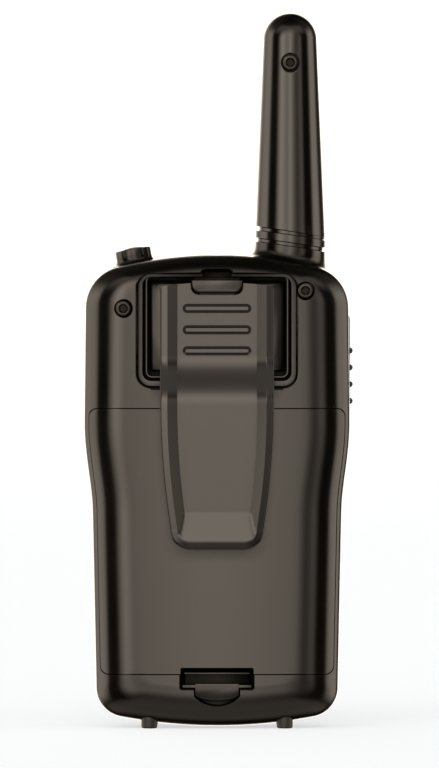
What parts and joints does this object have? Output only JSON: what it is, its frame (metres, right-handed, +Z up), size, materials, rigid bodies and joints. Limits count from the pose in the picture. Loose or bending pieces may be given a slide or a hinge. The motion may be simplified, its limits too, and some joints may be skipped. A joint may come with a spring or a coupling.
{
  "type": "portable radio",
  "caption": "Handheld two-way radio with a side talk button, a fixed antenna, a torch, a sprung belt clip and a hinged battery door",
  "frame": {"origin": "on the surface that the feet stand on, midway across the feet and under the middle of the overall depth from clip to keys", "axes": "+Z up towards the antenna tip, +Y towards the screen and speaker, +X towards the talk button"},
  "size_m": [0.0618, 0.0384, 0.1647],
  "materials": {
    "case": "satin, fine grain",
    "blade": "satin, fine grain",
    "rubber": "matte",
    "key": "matte",
    "steel": "bright",
    "screw": "blackened",
    "copper": "enamelled copper wire",
    "former": "moulded",
    "lens": "clear, domed",
    "chrome": "vacuum plated",
    "led": "clear epoxy",
    "window": "polished",
    "display": "display panel",
    "board": "solder mask",
    "chip": "moulded",
    "magnet": "plated",
    "cone": "paper",
    "cloth": "woven",
    "cell": "printed sleeve",
    "wire": "insulated"
  },
  "bodies": {
    "case": {"rear_housing": "case", "front_housing": "case", "clip_base_plate": "case", "clip_hinge_pin": "steel", "clip_spring": "steel", "ptt_switch": "chip", "antenna_rear_shell": "case", "antenna_front_shell": "case", "antenna_coil": "copper", "antenna_former": "former", "antenna_screw": "screw", "torch_bezel": "case", "torch_lens": "lens", "torch_reflector": "chrome", "torch_led": "led", "case_screws": "screw", "feet": "rubber", "display_window": "window", "display_module": "display", "main_board": "board", "rf_shield": "steel", "board_chips": "chip", "key_domes": "steel", "speaker_basket": "magnet", "speaker_cone": "cone", "speaker_magnet": "magnet", "speaker_cloth": "cloth", "speaker_wires": "wire", "microphone": "steel", "microphone_boot": "rubber", "battery_cell_left": "cell", "battery_cell_middle": "cell", "battery_cell_right": "cell", "battery_springs": "steel", "battery_plates": "steel", "battery_wires": "wire", "jack_socket": "chip"},
    "talk_button": {"ptt_button": "rubber"},
    "clip": {"clip_blade": "blade"},
    "clip_finger": {"clip_release_tab": "case"},
    "door": {"battery_door": "case"},
    "door_latch": {"battery_door_latch": "case"},
    "power_key": {"key_power": "key"},
    "call_key": {"key_call": "key"},
    "menu_key": {"key_menu": "key"},
    "up_key": {"key_up": "key"},
    "down_key": {"key_down": "key"},
    "jack_flap": {"jack_cover": "rubber"}
  },
  "joints": [
    {"name": "talk_press", "type": "slide", "parent": "case", "child": "talk_button", "axis": [-1, 0, 0], "range_m": [0, 0.0008], "stiffness_N_per_m": 2500},
    {"name": "clip_open", "type": "hinge", "parent": "case", "child": "clip", "pos_m": [0, -0.01135, 0.0843], "axis": [-1, 0, 0], "range_deg": [0, 8], "stiffness_Nm_per_rad": 1.2},
    {"name": "clip_release", "type": "hinge", "parent": "case", "child": "clip_finger", "pos_m": [0, -0.008, 0.091], "axis": [-1, 0, 0], "range_deg": [0, 4], "stiffness_Nm_per_rad": 0.8},
    {"name": "door_open", "type": "hinge", "parent": "case", "child": "door", "pos_m": [0, -0.01265, 0.0734], "axis": [-1, 0, 0], "range_deg": [0, 5.5]},
    {"name": "latch_slide", "type": "slide", "parent": "door", "child": "door_latch", "axis": [0, 0, 1], "range_m": [0, 0.001], "stiffness_N_per_m": 2000},
    {"name": "power_key_press", "type": "slide", "parent": "case", "child": "power_key", "axis": [0, -1, 0], "range_m": [0, 0.0005], "stiffness_N_per_m": 3000},
    {"name": "call_key_press", "type": "slide", "parent": "case", "child": "call_key", "axis": [0, -1, 0], "range_m": [0, 0.0005], "stiffness_N_per_m": 3000},
    {"name": "menu_key_press", "type": "slide", "parent": "case", "child": "menu_key", "axis": [0, -1, 0], "range_m": [0, 0.0005], "stiffness_N_per_m": 3000},
    {"name": "up_key_press", "type": "slide", "parent": "case", "child": "up_key", "axis": [0, -1, 0], "range_m": [0, 0.0005], "stiffness_N_per_m": 3000},
    {"name": "down_key_press", "type": "slide", "parent": "case", "child": "down_key", "axis": [0, -1, 0], "range_m": [0, 0.0005], "stiffness_N_per_m": 3000},
    {"name": "jack_flap_open", "type": "hinge", "parent": "case", "child": "jack_flap", "pos_m": [-0.03035, 0.00495, 0.088], "axis": [0, 0, 1], "range_deg": [0, 90]}
  ]
}
